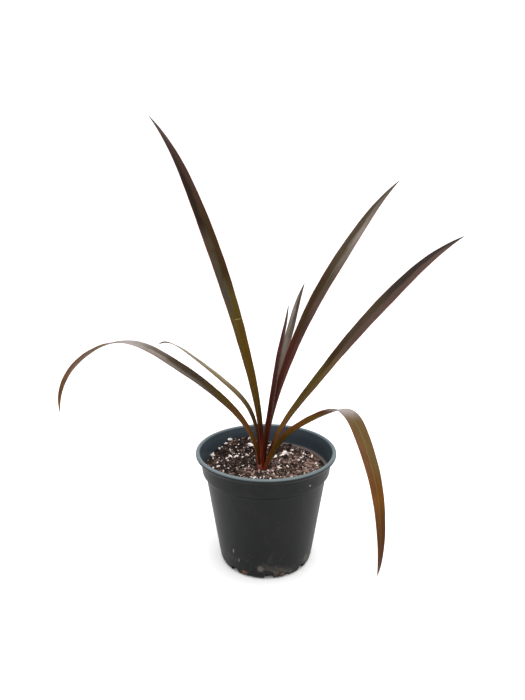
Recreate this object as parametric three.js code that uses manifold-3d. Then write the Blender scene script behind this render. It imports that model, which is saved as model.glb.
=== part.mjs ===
// Potted red crinum lily in a black nursery pot.
// Millimetres, Z up. The origin is the middle of the pot's flat underside, on the ground.
// -Y is the front, +X is to the right.
import * as THREE from 'three';
import { mergeVertices } from 'three/addons/utils/BufferGeometryUtils.js';
import Module from 'manifold-3d';

const wasm = await Module();
wasm.setup();

// Pot
const rimRadius = 60;
const potHeight = 99;
const potSides = 48;
const wall = 1.2;
const floorThickness = 1.4;
const collarRadius = 54.5;
const collarBottom = 81.6;
const bodyTopRadius = 51.5;
const bodyBottomRadius = 40.3;
const footRadius = 37;
const ledgeHeight = 82.4;
const drainCount = 16;
const drainSpacing = (2 * Math.PI) / drainCount;
const drainTurn = THREE.MathUtils.degToRad(3.5);
const largeNotch = { width: 7.5, reach: 7, rise: 5 };
const smallNotch = { width: 4.5, reach: 5, rise: 3.2 };
const insideTop = potHeight - 6.5;

// Clearance between pieces that touch
const gap = 0.3;

// Soil, a little higher on the left and heaped up at the back left
const soilLevel = 82.6;
const soilSlope = 0.018;
const soilSides = 38;
const soilRings = 10;
const soilReach = rimRadius - 2;
const crumbRise = 1.7;
const heap = { x: -25, y: 43, rise: 6.2, spread: 420 };
const perlite = { count: 24, inner: 12, outer: 47, least: 1.3, most: 2.2 };
const goldenAngle = Math.PI * (3 - Math.sqrt(5));

// The bulb stands a little left of the pot's middle and in front of it
const neckX = -2.8;
const neckY = -2.5;
const bulbRadius = 15;
const bulbBottom = 40;
const bulbWaist = 56;
const bulbTop = 73.7;
const bulbNeckRadius = 6;
const rootCount = 6;
const rootRadius = 1.5;
const rootSides = 5;
const rootEnd = 9;
const rootSpread = 30;

// The plain hole in the soil that the neck stands in, and its bay for the old sheath
const neckHole = { bottomRadius: 5.4, topRadius: 8.6, depth: 30 };
const stubBay = { radius: 3.9, offset: 5.3 };

// Leaves
const leafBase = bulbTop + gap;
const neckLength = 14;
const edgeThickness = 0.7;
const ribThickness = 1.15;
const tipWidth = 0.9;
const bladeCells = 4;

// The channel's half turn in degrees once it has unrolled, and the length it takes to unroll
const openCurl = 24;
const tipCurl = 10;
const unrollLength = 45;

// One entry for each leaf. place is the angle round the neck and ring the distance from its axis.
// aim, bend and roll are the heading, the climb and the twist in degrees, at even steps
// from the neck to the tip. rootWidth and width are measured straight across the channel,
// and growth says how late the blade widens beyond its sleeve.
const leaves = {
  leaf_left_arching: {
    place: 172, ring: 4.2, sleeve: 0, growth: 1.16, rootWidth: 6, width: 14.3, widest: 0.61,
    length: 297, steps: 38,
    aim: [168, 159, 173], bend: [86, 46, 30, 20, -20, -50, -95], roll: [0, -10, 6, 11],
  },
  leaf_left_slender: {
    place: 154, ring: 3.1, sleeve: 0, growth: 1.9, rootWidth: 4.2, width: 8.7, widest: 0.59,
    length: 177, steps: 24,
    aim: [161, 160, 128], bend: [89, 75, 41, 32, 17, -27], roll: [0, -4, 15, 38],
  },
  leaf_left_tall: {
    place: 206, ring: 1.85, sleeve: 16, growth: 0.8, rootWidth: 3, width: 14.7, widest: 0.41,
    length: 326, steps: 38,
    aim: [160, 150, 145], bend: [90, 78, 72, 67, 61, 43], roll: [0, -6, -26, -26],
  },
  leaf_centre_maroon: {
    place: -76, ring: 0.75, sleeve: 30, growth: 1.09, rootWidth: 1.3, width: 9, widest: 0.65,
    length: 159, steps: 20,
    aim: [-75, -56, -57], bend: [79, 70, 75, 79, 73, 79], roll: [0, 24, 26],
  },
  leaf_centre_pale: {
    place: 90, ring: 2.95, sleeve: 20, growth: 1.9, rootWidth: 1.6, width: 8.6, widest: 0.72,
    length: 174, steps: 22,
    aim: [85, 46, 50, 54], bend: [82, 64, 71, 67, 66, 52], roll: [0, -5, -11],
  },
  leaf_right_tall: {
    place: 10, ring: 1.8, sleeve: 16, growth: 1.01, rootWidth: 3, width: 14.5, widest: 0.49,
    length: 301, steps: 36,
    aim: [30, 32, 40], bend: [86, 71, 62, 52, 46, 32], roll: [0, -2, 18, 12],
  },
  leaf_right_long: {
    place: 21, ring: 2.9, sleeve: 6, growth: 0.82, rootWidth: 4.2, width: 15.2, widest: 0.6,
    length: 264, steps: 32,
    aim: [8, 1, 12], bend: [74, 55, 53, 49, 43, 26], roll: [0, 17, 28, 28],
  },
  leaf_right_hanging: {
    place: -60, ring: 4.15, sleeve: 0, growth: 0.92, rootWidth: 5.6, width: 14.2, widest: 0.41,
    length: 253, steps: 38,
    aim: [-36, -66, -97], bend: [66, 53, 38, 32, 21, -34, -44, -57, -85, -128],
    roll: [0, -9, -9, -20, -40],
  },
};

// The short dried stub of an old leaf's sheath, torn off just above the soil
const stub = {
  place: 247, ring: 7.3, sleeve: 0, growth: 1.5, rootWidth: 4.8, width: 5.2, widest: 0.7,
  length: 14.4, steps: 5, blunt: 4.2,
  aim: [247, 247], bend: [88, 78], roll: [0, 6],
};

const potMaterial = new THREE.MeshStandardMaterial({ color: 0x2b2d2f, roughness: 0.55, metalness: 0 });
const soilMaterial = new THREE.MeshStandardMaterial({ color: 0x3b2c24, roughness: 1, metalness: 0 });
const bulbMaterial = new THREE.MeshStandardMaterial({ color: 0x8a5a44, roughness: 0.7, metalness: 0 });
const leafMaterial = new THREE.MeshStandardMaterial({ color: 0x4a2f26, roughness: 0.45, metalness: 0 });
const paleMaterial = new THREE.MeshStandardMaterial({ color: 0x8c8478, roughness: 0.5, metalness: 0 });
const stubMaterial = new THREE.MeshStandardMaterial({ color: 0x9a4b3f, roughness: 0.8, metalness: 0 });

// A repeatable number from 0 to 1 for a given count
function chance(count) {
  const wave = Math.sin(count * 12.9898 + 4.1414) * 43758.5453;
  return wave - Math.floor(wave);
}

// A smooth run through evenly spaced values, at a share from 0 to 1
function along(values, share) {
  const last = values.length - 1;
  const place = THREE.MathUtils.clamp(share, 0, 1) * last;
  const cell = Math.min(Math.floor(place), last - 1);
  const t = place - cell;
  const a = values[cell];
  const b = values[cell + 1];
  const before = cell > 0 ? values[cell - 1] : 2 * a - b;
  const after = cell < last - 1 ? values[cell + 2] : 2 * b - a;
  const pull = 2 * before - 5 * a + 4 * b - after;
  return 0.5 * (2 * a + (b - before) * t + pull * t * t + (3 * a - before - 3 * b + after) * t ** 3);
}

function toSolid(geometry) {
  const bare = geometry.clone();
  bare.deleteAttribute('normal');
  bare.deleteAttribute('uv');
  const merged = mergeVertices(bare, 1e-3);
  const vertProperties = new Float32Array(merged.attributes.position.array);
  const triVerts = new Uint32Array(merged.index.array);
  return new wasm.Manifold(new wasm.Mesh({ numProp: 3, vertProperties, triVerts }));
}

function toGeometry(solid) {
  const mesh = solid.getMesh();
  const geometry = new THREE.BufferGeometry();
  geometry.setAttribute('position', new THREE.BufferAttribute(mesh.vertProperties, 3));
  geometry.setIndex(new THREE.BufferAttribute(mesh.triVerts, 1));
  return geometry;
}

// A profile of [radius, height] points turned about the Z axis
function turned(profile, sides) {
  const points = profile.map(([radius, height]) => new THREE.Vector2(radius, height));
  return new THREE.LatheGeometry(points, sides).rotateX(Math.PI / 2);
}

function named(name, geometry, material) {
  const mesh = new THREE.Mesh(geometry, material);
  mesh.name = name;
  return mesh;
}

// The pot's outside from the middle of the underside up to the rolled rim
function potOutside() {
  return [
    [0, 0],
    [footRadius, 0],
    [footRadius + 1.6, 0.4],
    [bodyBottomRadius - 0.7, 1.9],
    [bodyBottomRadius, 4.8],
    [bodyTopRadius, collarBottom - 3.6],
    [bodyTopRadius + 0.7, collarBottom - 2.2],
    [collarRadius - 0.8, collarBottom - 1.4],
    [collarRadius, collarBottom],
    [collarRadius + 1.3, potHeight - 6],
    [rimRadius - 3.4, potHeight - 4.7],
    [rimRadius - 1.2, potHeight - 4.1],
    [rimRadius - 0.2, potHeight - 3],
    [rimRadius, potHeight - 1.7],
    [rimRadius - 0.8, potHeight - 0.4],
    [rimRadius - 2.1, potHeight],
    [rimRadius - 3.2, potHeight - 0.4],
  ];
}

// The pot's inside from below the rim down to the floor, kept clear of it by the given amount
function potInside(clear) {
  return [
    [collarRadius - 0.1 - clear, insideTop],
    [collarRadius - 1.1 - clear, ledgeHeight + 1.4 + clear],
    [collarRadius - 1.5 - clear, ledgeHeight + clear],
    [bodyTopRadius - 0.9 - clear, ledgeHeight - 0.3 + clear],
    [bodyTopRadius - wall - 0.1 - clear, ledgeHeight - 2.4],
    [bodyBottomRadius - wall + 0.2 - clear, 6],
    [bodyBottomRadius - wall - 1 - clear, 2.6 + clear],
    [footRadius - 0.5 - clear, floorThickness + clear],
    [0, floorThickness + clear],
  ];
}

// Drain notches through the corner of wall and floor, large and small in turn
function drainNotch(number) {
  const { width, reach, rise } = number % 2 === 0 ? largeNotch : smallNotch;
  const radius = bodyBottomRadius - reach / 2 + 1.6;
  const angle = -Math.PI / 2 + drainTurn + number * drainSpacing;
  const notch = new THREE.CylinderGeometry(0.5, 0.5, 1, 8);
  notch.scale(width, reach, 2 * rise);
  notch.rotateZ(angle - Math.PI / 2);
  notch.translate(radius * Math.cos(angle), radius * Math.sin(angle), 0);
  return toSolid(notch);
}

function makePot() {
  const profile = [...potOutside(), ...potInside(0)];
  let pot = toSolid(turned(profile, potSides));
  for (let number = 0; number < drainCount; number += 1) {
    pot = pot.subtract(drainNotch(number));
  }
  return named('pot', toGeometry(pot), potMaterial);
}

function soilHeight(x, y) {
  const away = (x - heap.x) ** 2 + (y - heap.y) ** 2;
  const mound = heap.rise * Math.exp(-away / heap.spread);
  const shortWaves = 0.5 * Math.sin(x * 0.31 + 1.3) * Math.cos(y * 0.27);
  const longWaves = 0.4 * Math.sin(x * 0.12 - y * 0.17);
  return soilLevel - soilSlope * x + mound + shortWaves + longWaves;
}

// A disc of soil with a crumbly top, wider than the pot's inside
function soilSlab() {
  const profile = [];
  for (let ring = 0; ring <= soilRings; ring += 1) {
    profile.push([(soilReach * (soilRings - ring)) / soilRings, soilLevel]);
  }
  const slab = turned([[0, -2], [soilReach, -2], ...profile], soilSides);
  const merged = mergeVertices(new THREE.BufferGeometry()
    .setAttribute('position', slab.attributes.position)
    .setIndex(slab.index), 1e-3);
  const spots = merged.attributes.position;
  for (let i = 0; i < spots.count; i += 1) {
    if (spots.getZ(i) > 0) {
      const crumb = crumbRise * (chance(i) - 0.5);
      spots.setZ(i, soilHeight(spots.getX(i), spots.getY(i)) + crumb);
    }
  }
  return toSolid(merged);
}

// Perlite grains lying half sunk in the soil, clear of the neck and the pot
function perliteGrain(number) {
  const angle = number * goldenAngle;
  const share = Math.sqrt((number + 0.5) / perlite.count);
  const radius = THREE.MathUtils.lerp(perlite.inner, perlite.outer, share);
  const x = radius * Math.cos(angle);
  const y = radius * Math.sin(angle);
  const size = THREE.MathUtils.lerp(perlite.least, perlite.most, chance(number + 7));
  const grain = new THREE.OctahedronGeometry(size);
  grain.rotateZ(6 * chance(number + 90));
  grain.rotateX(0.7 * chance(number + 50));
  grain.translate(x, y, soilHeight(x, y) + 0.3);
  return toSolid(grain);
}

function makeSoil(bulbRoom) {
  const inside = [[0, insideTop], ...potInside(gap)].reverse();
  let soil = toSolid(turned(inside, potSides)).intersect(soilSlab());
  for (let number = 0; number < perlite.count; number += 1) {
    soil = soil.add(perliteGrain(number));
  }
  soil = soil.subtract(bulbRoom);
  soil = soil.subtract(neckRoom());
  return named('soil', toGeometry(soil), soilMaterial);
}

function neckRoom() {
  const { topRadius, bottomRadius, depth } = neckHole;
  const middle = bulbTop - 2 + depth / 2;
  const round = new THREE.CylinderGeometry(topRadius, bottomRadius, depth, 18);
  round.rotateX(Math.PI / 2).translate(neckX, neckY, middle);
  const angle = THREE.MathUtils.degToRad(stub.place);
  const bayX = neckX + stubBay.offset * Math.cos(angle);
  const bayY = neckY + stubBay.offset * Math.sin(angle);
  const bay = new THREE.CylinderGeometry(stubBay.radius, stubBay.radius, depth, 12);
  bay.rotateX(Math.PI / 2).translate(bayX, bayY, middle);
  return toSolid(round).add(toSolid(bay));
}

// The bulb and its fleshy roots, made larger by the given amount for the room they need
function bulbSolid(clear) {
  const rise = bulbTop - bulbWaist;
  const profile = [[0, bulbBottom - clear]];
  for (let step = 1; step <= 5; step += 1) {
    const angle = (step / 6) * (Math.PI / 2);
    const height = bulbWaist - (bulbWaist - bulbBottom + clear) * Math.cos(angle);
    profile.push([(bulbRadius + clear) * Math.sin(angle), height]);
  }
  for (let step = 0; step < 6; step += 1) {
    const share = step / 6;
    const radius = bulbNeckRadius + (bulbRadius - bulbNeckRadius) * Math.cos(share * Math.PI / 2) ** 0.8;
    profile.push([radius + clear, bulbWaist + rise * share]);
  }
  profile.push([bulbNeckRadius + clear, bulbTop + clear]);
  profile.push([0, bulbTop + clear]);
  let bulb = toSolid(turned(profile, 20));
  for (let number = 0; number < rootCount; number += 1) {
    bulb = bulb.add(rootSolid(number, clear));
  }
  if (clear === 0) {
    const below = new THREE.BoxGeometry(4 * rootSpread, 4 * rootSpread, 20);
    bulb = bulb.subtract(toSolid(below.translate(0, 0, rootEnd - 10)));
  }
  return bulb.translate([neckX, neckY, 0]);
}

function rootSolid(number, clear) {
  const angle = (number / rootCount) * 2 * Math.PI + 0.4;
  const spread = rootSpread - 6 * chance(number + 3);
  const route = new THREE.CatmullRomCurve3([
    new THREE.Vector3(5 * Math.cos(angle), 5 * Math.sin(angle), bulbBottom + 4),
    new THREE.Vector3(12 * Math.cos(angle), 12 * Math.sin(angle), bulbBottom - 5),
    new THREE.Vector3(spread * Math.cos(angle + 0.3), spread * Math.sin(angle + 0.3), 20),
    new THREE.Vector3(spread * Math.cos(angle + 0.7), spread * Math.sin(angle + 0.7), 6),
  ]);
  const section = new THREE.Shape();
  for (let side = 0; side < rootSides; side += 1) {
    const turn = (side / rootSides) * 2 * Math.PI;
    const reach = rootRadius + clear * 1.4;
    const corner = [reach * Math.cos(turn), reach * Math.sin(turn)];
    if (side === 0) {
      section.moveTo(...corner);
    } else {
      section.lineTo(...corner);
    }
  }
  return toSolid(new THREE.ExtrudeGeometry(section, { steps: 6, extrudePath: route }));
}

// Middle line of a leaf: points with the directions along, across and up at each of them
function leafLine(leaf) {
  const line = [];
  const fine = 8;
  const count = leaf.steps * fine;
  const step = leaf.length / count;
  const place = THREE.MathUtils.degToRad(leaf.place);
  const spot = new THREE.Vector3(neckX, neckY, leafBase);
  spot.x += leaf.ring * Math.cos(place);
  spot.y += leaf.ring * Math.sin(place);
  for (let i = 0; i <= count; i += 1) {
    if (i % fine === 0) {
      line.push({ spot: spot.clone(), ...leafDirections(leaf, i * step) });
    }
    spot.addScaledVector(leafDirections(leaf, (i + 0.5) * step).ahead, step);
  }
  return line;
}

function leafDirections(leaf, distance) {
  const share = Math.max(0, (distance - neckLength) / (leaf.length - neckLength));
  const neck = Math.min(distance / neckLength, 1);
  const ease = neck * neck * (3 - 2 * neck);
  let climb = along(leaf.bend, share);
  let heading = along(leaf.aim, share);
  let twist = along(leaf.roll, share);
  if (distance < neckLength) {
    climb = 90 + (climb - 90) * ease;
    heading = leaf.place + (heading - leaf.place) * ease;
    twist *= ease;
  }
  const [e, h, r] = [climb, heading, twist].map(THREE.MathUtils.degToRad);
  const ahead = new THREE.Vector3(Math.cos(e) * Math.cos(h), Math.cos(e) * Math.sin(h), Math.sin(e));
  const across = new THREE.Vector3(-Math.sin(h), Math.cos(h), 0);
  const up = new THREE.Vector3().crossVectors(ahead, across);
  across.applyAxisAngle(ahead, r);
  up.applyAxisAngle(ahead, r);
  return { ahead, across, up, share };
}

// Half the width, narrow inside the neck's sleeve, then widest part way and pointed at the tip
function halfWidth(leaf, distance) {
  const share = distance / leaf.length;
  const free = Math.max(0, distance - leaf.sleeve);
  const grown = Math.min(free / (leaf.widest * leaf.length - leaf.sleeve), 1);
  const swell = Math.sin((Math.PI / 2) * grown) ** leaf.growth;
  const width = leaf.rootWidth + (leaf.width - leaf.rootWidth) * swell;
  const past = Math.max(0, (share - leaf.widest) / (1 - leaf.widest));
  const taper = (1 - past ** 2.2) ** 0.9;
  return Math.max(width * taper, leaf.blunt ?? tipWidth) / 2;
}

// Half the angle that the channel turns through: it clasps the neck and flattens toward the tip
function halfCurl(leaf, distance) {
  const clasp = Math.asin(Math.min(leaf.rootWidth / 2 / leaf.ring, 0.96));
  const open = THREE.MathUtils.degToRad(THREE.MathUtils.lerp(openCurl, tipCurl, distance / leaf.length));
  const free = Math.max(0, distance - neckLength - leaf.sleeve);
  const fade = Math.exp(-((free / unrollLength) ** 1.5));
  return open + (clasp - open) * fade;
}

// A blade along its middle line. Both faces share one grid, so they are split into triangles alike
function bladeGeometry(leaf) {
  const line = leafLine(leaf);
  const columns = bladeCells + 1;
  const positions = [];
  for (const side of [0.5, -0.5]) {
    line.forEach((station, row) => {
      const distance = (leaf.length * row) / leaf.steps;
      const half = halfWidth(leaf, distance);
      const curl = halfCurl(leaf, distance);
      const radius = half / Math.sin(curl);
      const swell = Math.sin((Math.PI * distance) / leaf.length);
      const rib = (ribThickness - edgeThickness) * swell;
      for (let column = 0; column < columns; column += 1) {
        const v = (2 * column) / bladeCells - 1;
        const angle = v * curl;
        const thickness = side * (edgeThickness + rib * (1 - v * v));
        const reach = radius - thickness;
        const point = station.spot.clone();
        point.addScaledVector(station.across, reach * Math.sin(angle));
        point.addScaledVector(station.up, radius - reach * Math.cos(angle));
        positions.push(point.x, point.y, point.z);
      }
    });
  }
  const geometry = new THREE.BufferGeometry();
  geometry.setAttribute('position', new THREE.Float32BufferAttribute(positions, 3));
  geometry.setIndex(bladeFaces(line.length, columns));
  return geometry;
}

function bladeFaces(rows, columns) {
  const faces = [];
  const under = rows * columns;
  const quad = (a, b, c, d) => faces.push(a, b, c, a, c, d);
  for (let row = 0; row + 1 < rows; row += 1) {
    for (let column = 0; column + 1 < columns; column += 1) {
      const a = row * columns + column;
      const d = a + columns;
      faces.push(a, d, d + 1, a, d + 1, a + 1);
      faces.push(under + a, under + d + 1, under + d, under + a, under + a + 1, under + d + 1);
    }
    const left = row * columns;
    const right = left + columns - 1;
    quad(left, under + left, under + left + columns, left + columns);
    quad(right, right + columns, under + right + columns, under + right);
  }
  const last = (rows - 1) * columns;
  for (let column = 0; column + 1 < columns; column += 1) {
    quad(column, column + 1, under + column + 1, under + column);
    quad(last + column, under + last + column, under + last + column + 1, last + column + 1);
  }
  return faces;
}

const group = new THREE.Group();
group.add(makePot());
group.add(makeSoil(bulbSolid(gap)));
group.add(named('bulb', toGeometry(bulbSolid(0)), bulbMaterial));
for (const [name, leaf] of Object.entries(leaves)) {
  const material = name === 'leaf_centre_pale' ? paleMaterial : leafMaterial;
  group.add(named(name, bladeGeometry(leaf), material));
}
group.add(named('old_leaf_stub', bladeGeometry(stub), stubMaterial));

export default group;
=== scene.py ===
import math
import random

import bmesh
import bpy
from mathutils import Matrix, Vector, noise


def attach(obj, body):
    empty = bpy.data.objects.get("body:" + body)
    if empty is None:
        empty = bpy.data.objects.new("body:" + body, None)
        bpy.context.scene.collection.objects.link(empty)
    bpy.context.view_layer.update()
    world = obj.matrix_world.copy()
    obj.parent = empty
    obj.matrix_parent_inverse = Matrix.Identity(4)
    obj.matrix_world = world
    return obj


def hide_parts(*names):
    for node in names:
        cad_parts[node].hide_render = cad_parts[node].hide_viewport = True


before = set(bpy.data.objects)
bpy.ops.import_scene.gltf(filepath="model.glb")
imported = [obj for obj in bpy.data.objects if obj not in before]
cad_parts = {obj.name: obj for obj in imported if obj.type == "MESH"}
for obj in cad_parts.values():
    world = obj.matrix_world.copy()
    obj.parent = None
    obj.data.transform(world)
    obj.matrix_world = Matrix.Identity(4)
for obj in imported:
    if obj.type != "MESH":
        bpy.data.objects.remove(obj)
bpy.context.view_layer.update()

# Potted red crinum lily. Metres, Z up, the pot's underside on the floor at the origin,
# -Y toward the viewer. Lengths in the dictionaries are millimetres unless a note says otherwise.
mm = 0.001
print("frame loaded:", len(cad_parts), "nodes")


# Working helpers

def clearSelection():
    bpy.ops.object.select_all(action="DESELECT")


def openMesh(piece, mode="VERT"):
    clearSelection()
    bpy.context.view_layer.objects.active = piece
    piece.select_set(True)
    bpy.ops.object.mode_set(mode="EDIT")
    bpy.ops.mesh.select_mode(type=mode)
    bpy.ops.mesh.select_all(action="DESELECT")


def closeMesh():
    bpy.ops.object.mode_set(mode="OBJECT")


def pickVertices(piece, test):
    # in edit mode: selects the vertices whose place passes the test
    shape = bmesh.from_edit_mesh(piece.data)
    for vertex in shape.verts:
        vertex.select = test(vertex.co)
    shape.select_flush(True)
    shape.select_flush(False)
    bmesh.update_edit_mesh(piece.data)


def useModifiers(piece):
    clearSelection()
    bpy.context.view_layer.objects.active = piece
    piece.select_set(True)
    for modifier in list(piece.modifiers):
        bpy.ops.object.modifier_apply(modifier=modifier.name)


def addSubdivision(piece, levels):
    smoother = piece.modifiers.new("smoother", "SUBSURF")
    smoother.levels = levels
    smoother.render_levels = levels
    useModifiers(piece)


def takeNew(name):
    # the primitive just added, with its place moved into its mesh
    piece = bpy.context.object
    piece.name = name
    bpy.ops.object.transform_apply(location=True, rotation=True, scale=True)
    return piece


def copyOf(pattern, name, placing):
    copied = pattern.copy()
    copied.data = pattern.data.copy()
    copied.name = name
    copied.data.transform(placing)
    bpy.context.scene.collection.objects.link(copied)
    return copied


def joinAll(parts, name):
    clearSelection()
    for part in parts:
        part.select_set(True)
    bpy.context.view_layer.objects.active = parts[0]
    bpy.ops.object.join()
    joined = bpy.context.object
    joined.name = name
    joined.data.name = name
    return joined


def roundShade(piece, degrees=None):
    clearSelection()
    bpy.context.view_layer.objects.active = piece
    piece.select_set(True)
    if degrees is None:
        bpy.ops.object.shade_smooth()
    else:
        bpy.ops.object.shade_smooth_by_angle(angle=math.radians(degrees))


def setMaterial(piece, material):
    piece.data.materials.clear()
    piece.data.materials.append(material)


def standIn(piece, node):
    # the finished piece rides with the plant and stands for its node
    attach(piece, "root")
    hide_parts(node)


def mixed(low, high, share):
    return low + (high - low) * share


# Node helpers

def tint(red, green, blue):
    # a screen colour from 0 to 255 as the linear colour a shader takes
    def channel(value):
        share = value / 255
        return share / 12.92 if share <= 0.04045 else ((share + 0.055) / 1.055) ** 2.4
    return (channel(red), channel(green), channel(blue), 1)


def addNode(tree, kind, **settings):
    node = tree.nodes.new("ShaderNode" + kind)
    for key, value in settings.items():
        setattr(node, key, value)
    return node


def feed(tree, socket, value):
    if isinstance(value, bpy.types.NodeSocket):
        tree.links.new(value, socket)
    elif value is not None:
        socket.default_value = value


def calc(tree, operation, *values, clamp=False):
    node = addNode(tree, "Math", operation=operation, use_clamp=clamp)
    for socket, value in zip(node.inputs, values):
        feed(tree, socket, value)
    return node.outputs[0]


def soften(tree, value, low, high):
    # 0 below low, 1 above high, smooth between them; low may be the larger
    node = addNode(tree, "MapRange", interpolation_type="SMOOTHSTEP")
    feed(tree, node.inputs["Value"], value)
    flipped = low > high
    node.inputs["From Min"].default_value = min(low, high)
    node.inputs["From Max"].default_value = max(low, high)
    node.inputs["To Min"].default_value = 1 if flipped else 0
    node.inputs["To Max"].default_value = 0 if flipped else 1
    return node.outputs["Result"]


def blend(tree, share, first, second, kind="MIX"):
    node = addNode(tree, "Mix", data_type="RGBA", blend_type=kind)
    feed(tree, node.inputs[0], share)
    feed(tree, node.inputs[6], first)
    feed(tree, node.inputs[7], second)
    return node.outputs[2]


def tinge(tree, colour, mask, share, tone):
    # lays a tone over a colour where the mask is, at a share of its strength
    return blend(tree, calc(tree, "MULTIPLY", mask, share), colour, tone)


def noiseOn(tree, vector, scale, detail=3.0, roughness=0.55, distortion=0.0):
    node = addNode(tree, "TexNoise")
    feed(tree, node.inputs["Vector"], vector)
    feed(tree, node.inputs["Scale"], scale)
    node.inputs["Detail"].default_value = detail
    node.inputs["Roughness"].default_value = roughness
    node.inputs["Distortion"].default_value = distortion
    return node.outputs["Fac"]


def colourRun(tree, share, stops):
    node = addNode(tree, "ValToRGB")
    feed(tree, node.inputs["Fac"], share)
    run = node.color_ramp
    run.interpolation = "EASE"
    while len(run.elements) < len(stops):
        run.elements.new(0.5)
    for element, (place, colour) in zip(run.elements, stops):
        element.position = place
        element.color = colour
    return node.outputs["Color"]


def mapped(tree, vector, move=(0, 0, 0), scale=(1, 1, 1)):
    node = addNode(tree, "Mapping")
    feed(tree, node.inputs["Vector"], vector)
    node.inputs["Location"].default_value = move
    node.inputs["Scale"].default_value = scale
    return node.outputs["Vector"]


def newMaterial(name):
    material = bpy.data.materials.new(name)
    material.use_nodes = True
    tree = material.node_tree
    shader = tree.nodes["Principled BSDF"]
    return material, tree, shader


def newGroup(name, inputs, outputs):
    group = bpy.data.node_groups.new(name, "ShaderNodeTree")
    for label, kind, value in inputs:
        socket = group.interface.new_socket(label, in_out="INPUT", socket_type="NodeSocket" + kind)
        if value is not None:
            socket.default_value = value
    for label in outputs:
        group.interface.new_socket(label, in_out="OUTPUT", socket_type="NodeSocketFloat")
    start = group.nodes.new("NodeGroupInput")
    end = group.nodes.new("NodeGroupOutput")
    return group, start.outputs, end.inputs


def useGroup(tree, group, **values):
    node = addNode(tree, "Group", node_tree=group)
    for label, value in values.items():
        feed(tree, node.inputs[label], value)
    return node.outputs


def addBump(tree, shader, height, strength, distance):
    bump = addNode(tree, "Bump")
    feed(tree, bump.inputs["Height"], height)
    bump.inputs["Strength"].default_value = strength
    bump.inputs["Distance"].default_value = distance
    feed(tree, shader.inputs["Normal"], bump.outputs["Normal"])


# Shared effects

def makeFibreGroup():
    # lengthwise veins, fine streaks, the midrib and the two margins of a strap leaf
    group, given, made = newGroup(
        "leafFibres",
        [("UV", "Vector", None), ("VeinCount", "Float", 16.0), ("Shift", "Float", 0.0)],
        ["Veins", "Streaks", "Rib", "Margin", "Along", "Side"])
    parts = addNode(group, "SeparateXYZ")
    feed(group, parts.inputs[0], given["UV"])
    side = calc(group, "MULTIPLY_ADD", parts.outputs["X"], 2.0, -1.0)
    across = calc(group, "ABSOLUTE", side)
    stretched = addNode(group, "CombineXYZ")
    feed(group, stretched.inputs["X"], calc(group, "MULTIPLY", parts.outputs["X"], 46.0))
    feed(group, stretched.inputs["Y"], calc(group, "MULTIPLY", parts.outputs["Y"], 9.0))
    feed(group, stretched.inputs["Z"], given["Shift"])
    streaks = noiseOn(group, stretched.outputs[0], 1.0, 4, 0.6)
    wave = calc(group, "MULTIPLY", calc(group, "MULTIPLY", parts.outputs["X"], given["VeinCount"]), 2 * math.pi)
    wave = calc(group, "SINE", calc(group, "MULTIPLY_ADD", streaks, 1.6, wave))
    feed(group, made["Veins"], calc(group, "MULTIPLY_ADD", wave, 0.5, 0.5))
    feed(group, made["Streaks"], streaks)
    feed(group, made["Rib"], soften(group, across, 0.12, 0.01))
    feed(group, made["Margin"], soften(group, across, 0.82, 0.96))
    feed(group, made["Along"], parts.outputs["Y"])
    feed(group, made["Side"], side)
    return group


def makeMottleGroup():
    # broad tone patches, sparse flecks and a thin waxy bloom
    group, given, made = newGroup(
        "leafMottle",
        [("Position", "Vector", None), ("PatchScale", "Float", 60.0)],
        ["Patches", "Flecks", "Bloom"])
    patches = noiseOn(group, given["Position"], given["PatchScale"], 4, 0.6, 0.4)
    cells = addNode(group, "TexVoronoi", feature="F1")
    feed(group, cells.inputs["Vector"], given["Position"])
    cells.inputs["Scale"].default_value = 260.0
    sparse = soften(group, noiseOn(group, given["Position"], 95.0, 2), 0.56, 0.66)
    dots = soften(group, cells.outputs["Distance"], 0.2, 0.06)
    feed(group, made["Patches"], soften(group, patches, 0.34, 0.68))
    feed(group, made["Flecks"], calc(group, "MULTIPLY", dots, sparse))
    feed(group, made["Bloom"], soften(group, noiseOn(group, given["Position"], 26.0, 5, 0.65), 0.4, 0.72))
    return group


def makeDustGroup():
    # patchy settled dust with fine specks in it
    group, given, made = newGroup(
        "dustFilm",
        [("Position", "Vector", None), ("Cover", "Float", 0.5)],
        ["Dust", "Specks"])
    broad = noiseOn(group, given["Position"], 70.0, 5, 0.7, 0.6)
    fine = noiseOn(group, given["Position"], 900.0, 3, 0.7)
    level = calc(group, "ADD", calc(group, "MULTIPLY", broad, 0.7), calc(group, "MULTIPLY", fine, 0.3))
    level = calc(group, "ADD", level, given["Cover"])
    feed(group, made["Dust"], soften(group, level, 0.9, 1.25))
    cells = addNode(group, "TexVoronoi", feature="F1")
    feed(group, cells.inputs["Vector"], given["Position"])
    cells.inputs["Scale"].default_value = 330.0
    sparse = soften(group, noiseOn(group, given["Position"], 120.0, 2), 0.6, 0.7)
    dots = soften(group, cells.outputs["Distance"], 0.16, 0.05)
    feed(group, made["Specks"], calc(group, "MULTIPLY", dots, sparse))
    return group


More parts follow.
